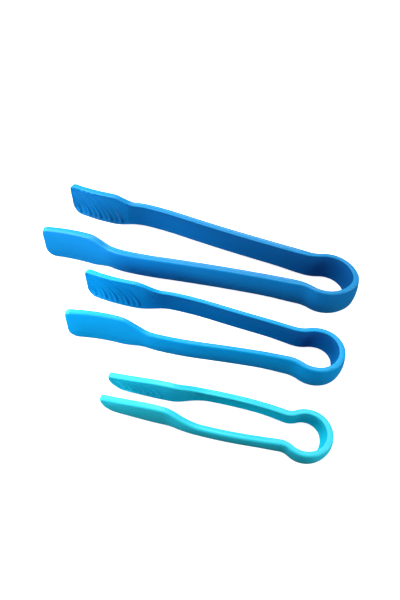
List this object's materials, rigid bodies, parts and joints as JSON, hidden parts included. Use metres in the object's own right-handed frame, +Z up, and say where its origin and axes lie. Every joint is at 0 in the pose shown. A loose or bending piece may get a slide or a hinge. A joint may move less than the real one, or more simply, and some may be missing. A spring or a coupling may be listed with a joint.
{
  "type": "print tongs",
  "caption": "Moulded plastic darkroom print tongs in graded sizes, with springy C-shaped bows, slim arms and ribbed paddle jaws that grip wet prints.",
  "frame": {"origin": "centre of the set's bounding box on the surface it lies on", "axes": "+X from the jaws to the bows, along the medium pair; +Y away from the viewer, towards the large pair; +Z up"},
  "size_m": [0.2338, 0.1726, 0.0288],
  "materials": {
    "large_plastic": "satin injection-moulded polypropylene",
    "medium_plastic": "satin injection-moulded polypropylene",
    "small_plastic": "satin injection-moulded polypropylene"
  },
  "bodies": {
    "large_crown": {"large_bow_crown": "large_plastic"},
    "large_limb_far": {"large_bow_limb_far": "large_plastic"},
    "large_arm_far": {"large_arm_far": "large_plastic", "large_jaw_far": "large_plastic"},
    "large_limb_near": {"large_bow_limb_near": "large_plastic"},
    "large_arm_near": {"large_arm_near": "large_plastic", "large_jaw_near": "large_plastic"},
    "medium_crown": {"medium_bow_crown": "medium_plastic"},
    "medium_limb_far": {"medium_bow_limb_far": "medium_plastic"},
    "medium_arm_far": {"medium_arm_far": "medium_plastic", "medium_jaw_far": "medium_plastic"},
    "medium_limb_near": {"medium_bow_limb_near": "medium_plastic"},
    "medium_arm_near": {"medium_arm_near": "medium_plastic", "medium_jaw_near": "medium_plastic"},
    "small_crown": {"small_bow_crown": "small_plastic"},
    "small_limb_far": {"small_bow_limb_far": "small_plastic"},
    "small_arm_far": {"small_arm_far": "small_plastic", "small_jaw_far": "small_plastic"},
    "small_limb_near": {"small_bow_limb_near": "small_plastic"},
    "small_arm_near": {"small_arm_near": "small_plastic", "small_jaw_near": "small_plastic"}
  },
  "joints": [
    {"name": "large_bow_far_flex", "type": "hinge", "parent": "large_crown", "child": "large_limb_far", "pos_m": [0.11102, 0.05967, 0.0113], "axis": [0, 0, 1], "range_deg": [-1.6, 3.1], "stiffness_Nm_per_rad": 9},
    {"name": "large_shoulder_far_flex", "type": "hinge", "parent": "large_limb_far", "child": "large_arm_far", "pos_m": [0.09351, 0.06782, 0.0113], "axis": [0, 0, 1], "range_deg": [-1.28, 2.48], "stiffness_Nm_per_rad": 11},
    {"name": "large_bow_near_flex", "type": "hinge", "parent": "large_crown", "child": "large_limb_near", "pos_m": [0.11019, 0.03987, 0.0113], "axis": [0, 0, 1], "range_deg": [-3.1, 1.6], "stiffness_Nm_per_rad": 9},
    {"name": "large_shoulder_near_flex", "type": "hinge", "parent": "large_limb_near", "child": "large_arm_near", "pos_m": [0.09206, 0.03322, 0.0113], "axis": [0, 0, 1], "range_deg": [-2.48, 1.28], "stiffness_Nm_per_rad": 11},
    {"name": "medium_bow_far_flex", "type": "hinge", "parent": "medium_crown", "child": "medium_limb_far", "pos_m": [0.11074, -0.00346, 0.0093], "axis": [0, 0, 1], "range_deg": [-1.6, 2.7], "stiffness_Nm_per_rad": 7.5},
    {"name": "medium_shoulder_far_flex", "type": "hinge", "parent": "medium_limb_far", "child": "medium_arm_far", "pos_m": [0.09461, 0.00261, 0.0093], "axis": [0, 0, 1], "range_deg": [-1.28, 2.16], "stiffness_Nm_per_rad": 9.5},
    {"name": "medium_bow_near_flex", "type": "hinge", "parent": "medium_crown", "child": "medium_limb_near", "pos_m": [0.11074, -0.02194, 0.0093], "axis": [0, 0, 1], "range_deg": [-2.7, 1.6], "stiffness_Nm_per_rad": 7.5},
    {"name": "medium_shoulder_near_flex", "type": "hinge", "parent": "medium_limb_near", "child": "medium_arm_near", "pos_m": [0.09461, -0.02801, 0.0093], "axis": [0, 0, 1], "range_deg": [-2.16, 1.28], "stiffness_Nm_per_rad": 9.5},
    {"name": "small_bow_far_flex", "type": "hinge", "parent": "small_crown", "child": "small_limb_far", "pos_m": [0.11193, -0.06095, 0.0056], "axis": [0, 0, 1], "range_deg": [-1.4, 1.3], "stiffness_Nm_per_rad": 4.5},
    {"name": "small_shoulder_far_flex", "type": "hinge", "parent": "small_limb_far", "child": "small_arm_far", "pos_m": [0.09686, -0.05615, 0.0056], "axis": [0, 0, 1], "range_deg": [-1.12, 1.04], "stiffness_Nm_per_rad": 5.5},
    {"name": "small_bow_near_flex", "type": "hinge", "parent": "small_crown", "child": "small_limb_near", "pos_m": [0.11237, -0.078, 0.0056], "axis": [0, 0, 1], "range_deg": [-1.3, 1.4], "stiffness_Nm_per_rad": 4.5},
    {"name": "small_shoulder_near_flex", "type": "hinge", "parent": "small_limb_near", "child": "small_arm_near", "pos_m": [0.09757, -0.08358, 0.0056], "axis": [0, 0, 1], "range_deg": [-1.04, 1.12], "stiffness_Nm_per_rad": 5.5},
    {"name": "medium_lift", "type": "slide", "parent": "large_crown", "child": "medium_crown", "axis": [0, 0, 1], "range_m": [0, 0.06]},
    {"name": "small_lift", "type": "slide", "parent": "large_crown", "child": "small_crown", "axis": [0, 0, 1], "range_m": [0, 0.06]}
  ],
  "couplings": [
    {"joint": "large_bow_near_flex", "follows": "large_bow_far_flex", "ratio": -1},
    {"joint": "large_shoulder_far_flex", "follows": "large_bow_far_flex", "ratio": 0.8},
    {"joint": "large_shoulder_near_flex", "follows": "large_bow_far_flex", "ratio": -0.8},
    {"joint": "medium_bow_near_flex", "follows": "medium_bow_far_flex", "ratio": -1},
    {"joint": "medium_shoulder_far_flex", "follows": "medium_bow_far_flex", "ratio": 0.8},
    {"joint": "medium_shoulder_near_flex", "follows": "medium_bow_far_flex", "ratio": -0.8},
    {"joint": "small_bow_near_flex", "follows": "small_bow_far_flex", "ratio": -1},
    {"joint": "small_shoulder_far_flex", "follows": "small_bow_far_flex", "ratio": 0.8},
    {"joint": "small_shoulder_near_flex", "follows": "small_bow_far_flex", "ratio": -0.8}
  ]
}
